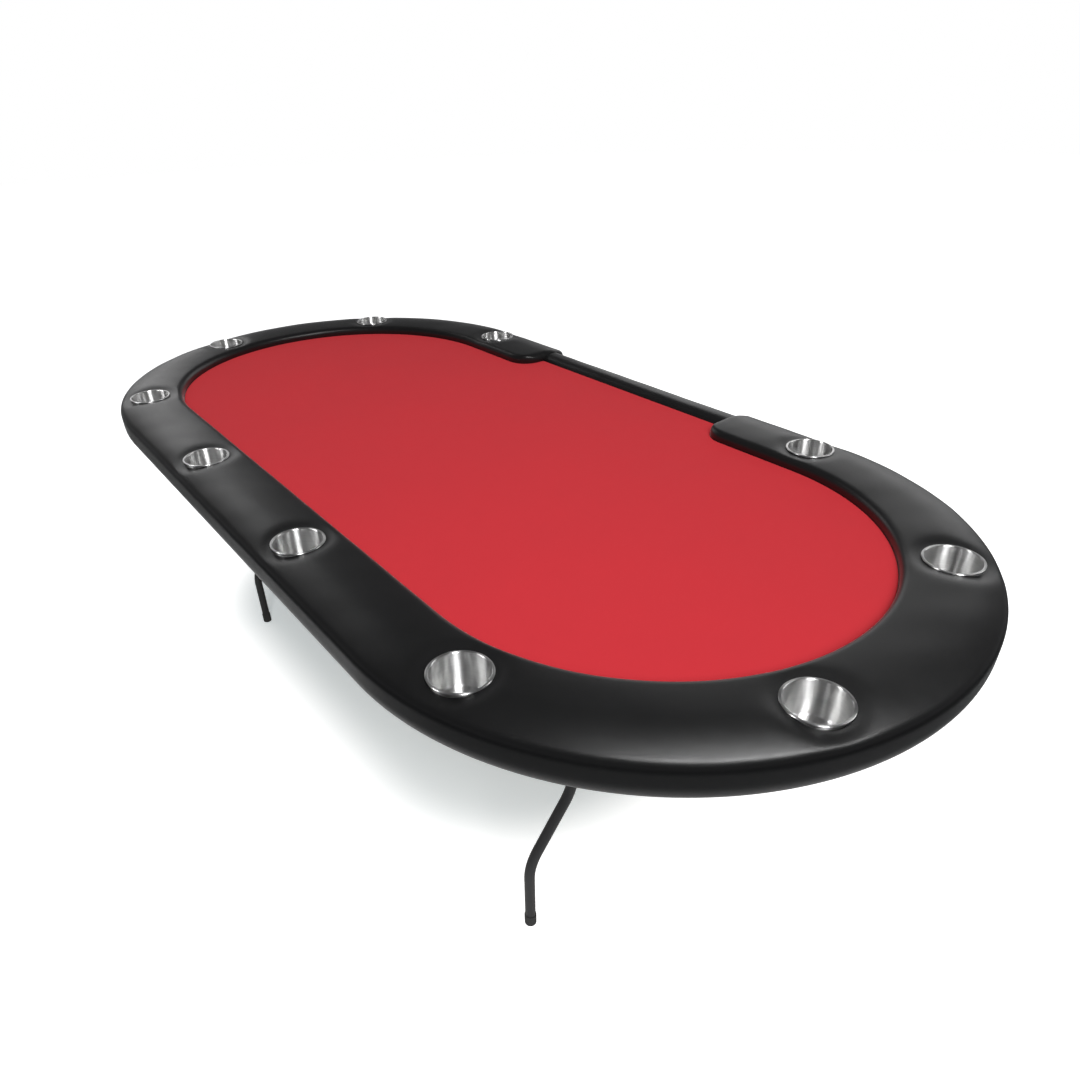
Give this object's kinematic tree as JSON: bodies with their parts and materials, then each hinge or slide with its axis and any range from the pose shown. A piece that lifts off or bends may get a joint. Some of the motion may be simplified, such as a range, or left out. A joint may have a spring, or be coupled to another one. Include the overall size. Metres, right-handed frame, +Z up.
{
  "type": "poker table",
  "caption": "Racetrack poker table with a padded rail, cup holders, a cut-back dealer's place and two folding steel leg frames.",
  "frame": {"origin": "on the floor, under the middle of the table", "axes": "+X along the table, +Y towards the dealer's place, +Z up"},
  "size_m": [2.438, 1.219, 0.787],
  "materials": {
    "red_speed_cloth": "matt close-woven cloth",
    "underlay_foam": "matt foam",
    "black_vinyl": "satin smooth upholstery vinyl over foam",
    "brushed_stainless": "brushed inside, polished rim",
    "plywood": "plain sanded plywood",
    "black_powder_coat": "satin powder coat",
    "zinc_plate": "zinc plated",
    "black_rubber": "matt moulded rubber"
  },
  "bodies": {
    "root": {"deck_panel": "plywood", "foam_underlay": "underlay_foam", "playing_cloth": "red_speed_cloth", "rail_base_front": "plywood", "rail_base_rear": "plywood", "rail_base_left": "plywood", "rail_base_right": "plywood", "armrest_pad": "black_vinyl", "dealer_rail_pad": "black_vinyl", "cup_holder_1": "brushed_stainless", "cup_holder_2": "brushed_stainless", "cup_holder_3": "brushed_stainless", "cup_holder_4": "brushed_stainless", "cup_holder_5": "brushed_stainless", "cup_holder_6": "brushed_stainless", "cup_holder_7": "brushed_stainless", "cup_holder_8": "brushed_stainless", "cup_holder_9": "brushed_stainless", "cup_holder_10": "brushed_stainless", "hinge_board_right": "plywood", "hinge_bracket_front_right": "zinc_plate", "hinge_bracket_rear_right": "zinc_plate", "brace_bracket_right": "zinc_plate", "brace_pivot_pin_right": "zinc_plate", "brace_screw_inner_right": "zinc_plate", "brace_screw_outer_right": "zinc_plate", "hinge_screw_front_inner_right": "zinc_plate", "hinge_screw_front_outer_right": "zinc_plate", "hinge_screw_rear_inner_right": "zinc_plate", "hinge_screw_rear_outer_right": "zinc_plate", "hinge_board_left": "plywood", "hinge_bracket_front_left": "zinc_plate", "hinge_bracket_rear_left": "zinc_plate", "brace_bracket_left": "zinc_plate", "brace_pivot_pin_left": "zinc_plate", "brace_screw_inner_left": "zinc_plate", "brace_screw_outer_left": "zinc_plate", "hinge_screw_front_inner_left": "zinc_plate", "hinge_screw_front_outer_left": "zinc_plate", "hinge_screw_rear_inner_left": "zinc_plate", "hinge_screw_rear_outer_left": "zinc_plate"},
    "leg_frame_right": {"leg_tube_front_right": "black_powder_coat", "leg_tube_rear_right": "black_powder_coat", "pivot_bar_right": "black_powder_coat", "crossbar_right": "black_powder_coat", "foot_cap_front_right": "black_rubber", "foot_cap_rear_right": "black_rubber"},
    "brace_upper_right": {"brace_upper_link_right": "zinc_plate"},
    "brace_lower_right": {"brace_lower_link_right": "zinc_plate", "knuckle_pin_right": "zinc_plate"},
    "leg_frame_left": {"leg_tube_front_left": "black_powder_coat", "leg_tube_rear_left": "black_powder_coat", "pivot_bar_left": "black_powder_coat", "crossbar_left": "black_powder_coat", "foot_cap_front_left": "black_rubber", "foot_cap_rear_left": "black_rubber"},
    "brace_upper_left": {"brace_upper_link_left": "zinc_plate"},
    "brace_lower_left": {"brace_lower_link_left": "zinc_plate", "knuckle_pin_left": "zinc_plate"}
  },
  "joints": [
    {"name": "leg_fold_right", "type": "hinge", "parent": "root", "child": "leg_frame_right", "pos_m": [0.709, 0, 0.707], "axis": [0, 1, 0], "range_deg": [0, 90]},
    {"name": "brace_upper_turn_right", "type": "hinge", "parent": "root", "child": "brace_upper_right", "pos_m": [0.409, -0.003, 0.707], "axis": [0, 1, 0], "range_deg": [0, 145.2]},
    {"name": "brace_lower_turn_right", "type": "hinge", "parent": "leg_frame_right", "child": "brace_lower_right", "pos_m": [0.709, 0.003, 0.497], "axis": [0, -1, 0], "range_deg": [0, 125.2]},
    {"name": "leg_fold_left", "type": "hinge", "parent": "root", "child": "leg_frame_left", "pos_m": [-0.709, 0, 0.707], "axis": [0, -1, 0], "range_deg": [0, 90]},
    {"name": "brace_upper_turn_left", "type": "hinge", "parent": "root", "child": "brace_upper_left", "pos_m": [-0.409, -0.003, 0.707], "axis": [0, -1, 0], "range_deg": [0, 145.2]},
    {"name": "brace_lower_turn_left", "type": "hinge", "parent": "leg_frame_left", "child": "brace_lower_left", "pos_m": [-0.709, 0.003, 0.497], "axis": [0, 1, 0], "range_deg": [0, 125.2]}
  ],
  "couplings": [
    {"joint": "brace_upper_turn_right", "follows": "leg_fold_right", "ratio": 1.6112},
    {"joint": "brace_lower_turn_right", "follows": "leg_fold_right", "ratio": 1.3888},
    {"joint": "brace_upper_turn_left", "follows": "leg_fold_left", "ratio": 1.6112},
    {"joint": "brace_lower_turn_left", "follows": "leg_fold_left", "ratio": 1.3888}
  ]
}
